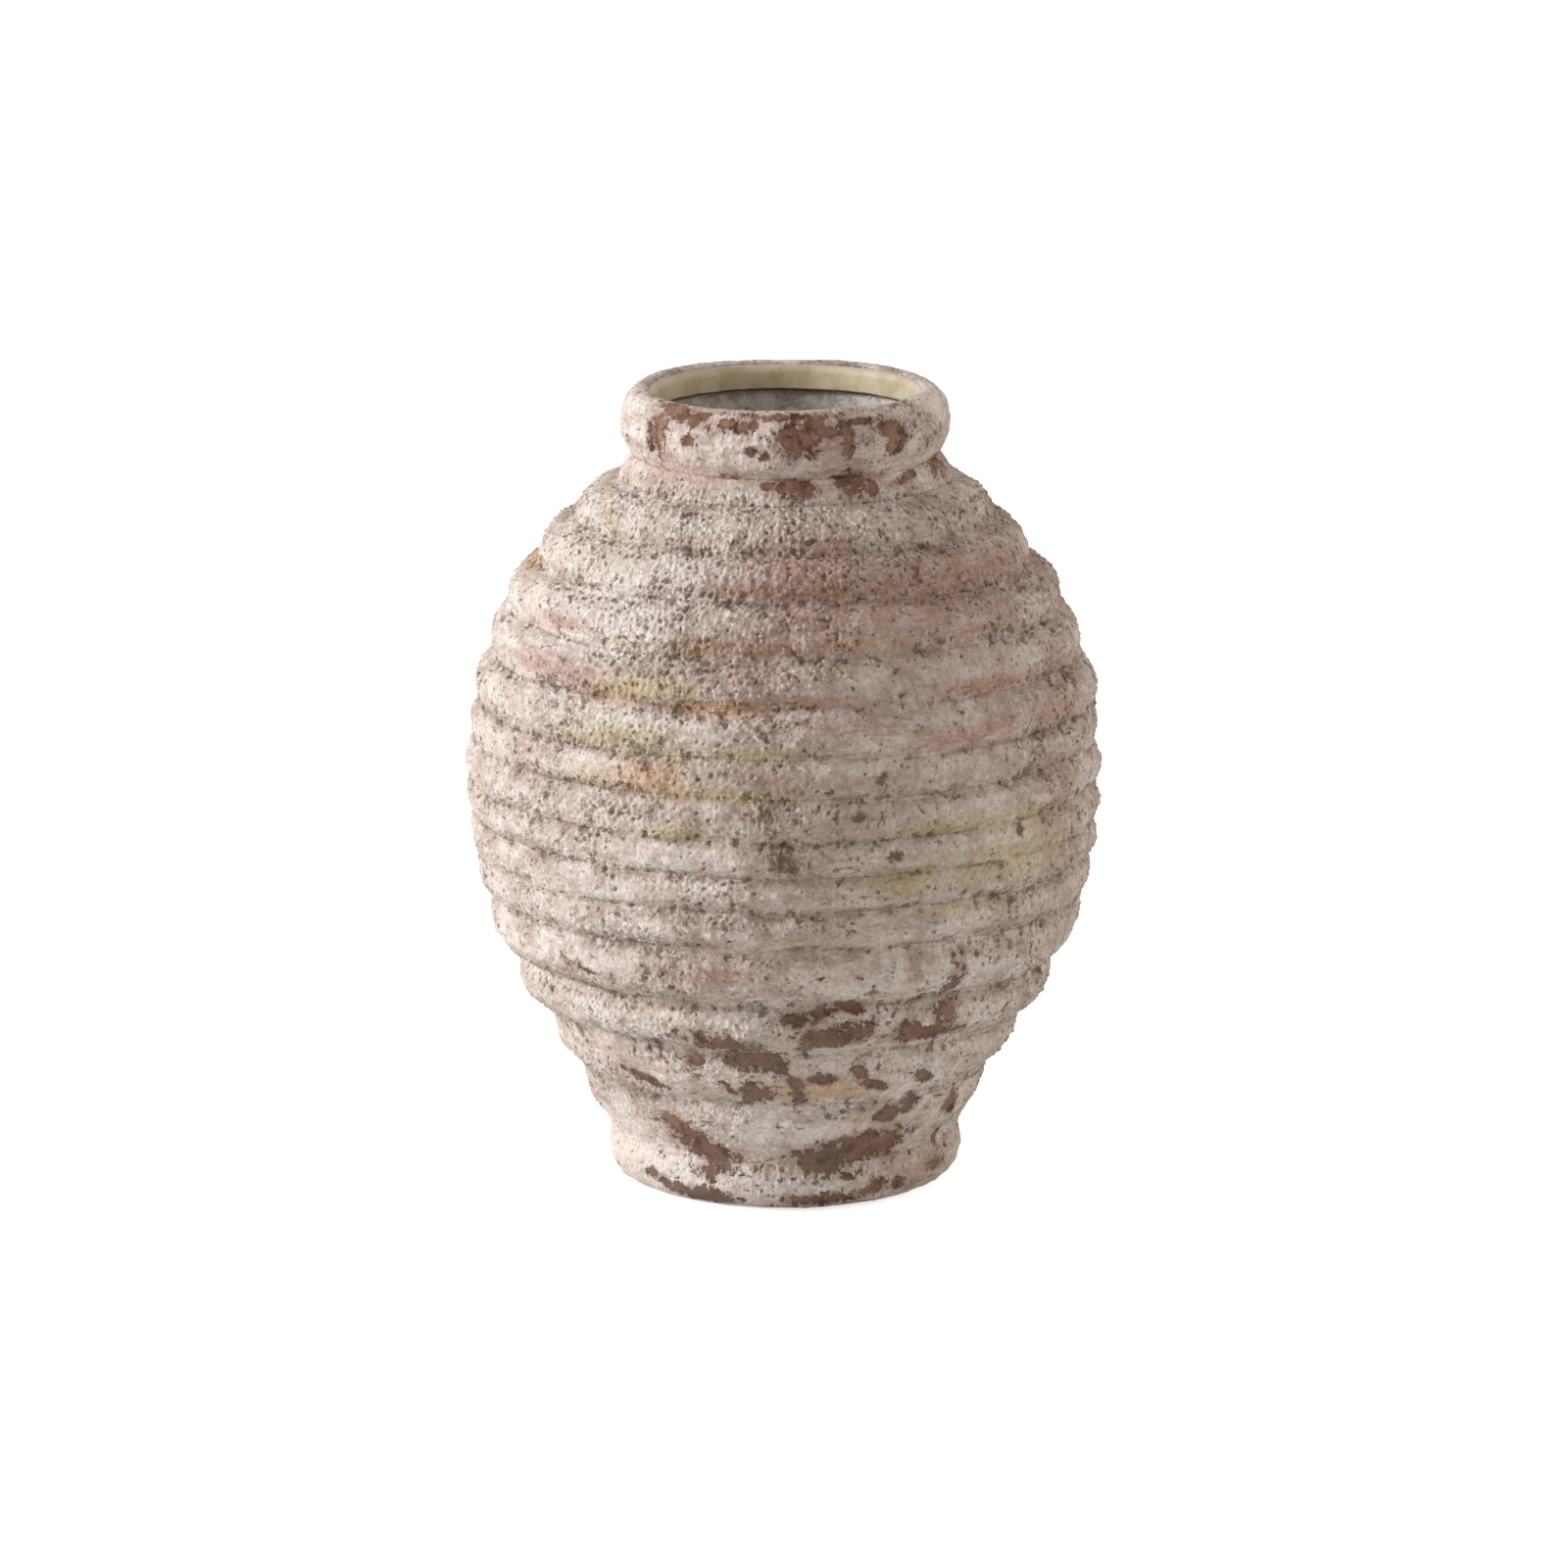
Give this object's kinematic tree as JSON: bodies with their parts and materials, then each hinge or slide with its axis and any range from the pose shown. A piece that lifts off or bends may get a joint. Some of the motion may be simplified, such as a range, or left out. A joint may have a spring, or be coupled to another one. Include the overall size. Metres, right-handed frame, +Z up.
{
  "type": "storage jar",
  "caption": "Coil-built storage jar (pithos) with rounded ribs, a swelling belly, a short neck, a thick rolled rim round an open mouth and a recessed ring foot.",
  "frame": {"origin": "centre of the ring that the foot stands on, at floor level", "axes": "+Z up along the jar's axis; -Y is the side that faces the camera in the picture, +X is its right"},
  "size_m": [0.316, 0.316, 0.4],
  "materials": {
    "crusted_clay": "gritty lime wash over fired red clay, matt",
    "bare_clay": "fired red clay, matt",
    "cream_glaze": "thin cream glaze, satin"
  },
  "bodies": {
    "root": {"foot_ring": "crusted_clay", "floor_disc": "bare_clay", "coil_01": "crusted_clay", "coil_02": "crusted_clay", "coil_03": "crusted_clay", "coil_04": "crusted_clay", "coil_05": "crusted_clay", "coil_06": "crusted_clay", "coil_07": "crusted_clay", "coil_08": "crusted_clay", "coil_09": "crusted_clay", "coil_10": "crusted_clay", "coil_11": "crusted_clay", "coil_12": "crusted_clay", "coil_13": "crusted_clay", "coil_14": "crusted_clay", "neck_collar": "crusted_clay", "rim_roll": "crusted_clay", "throat_glaze": "cream_glaze"}
  },
  "joints": []
}
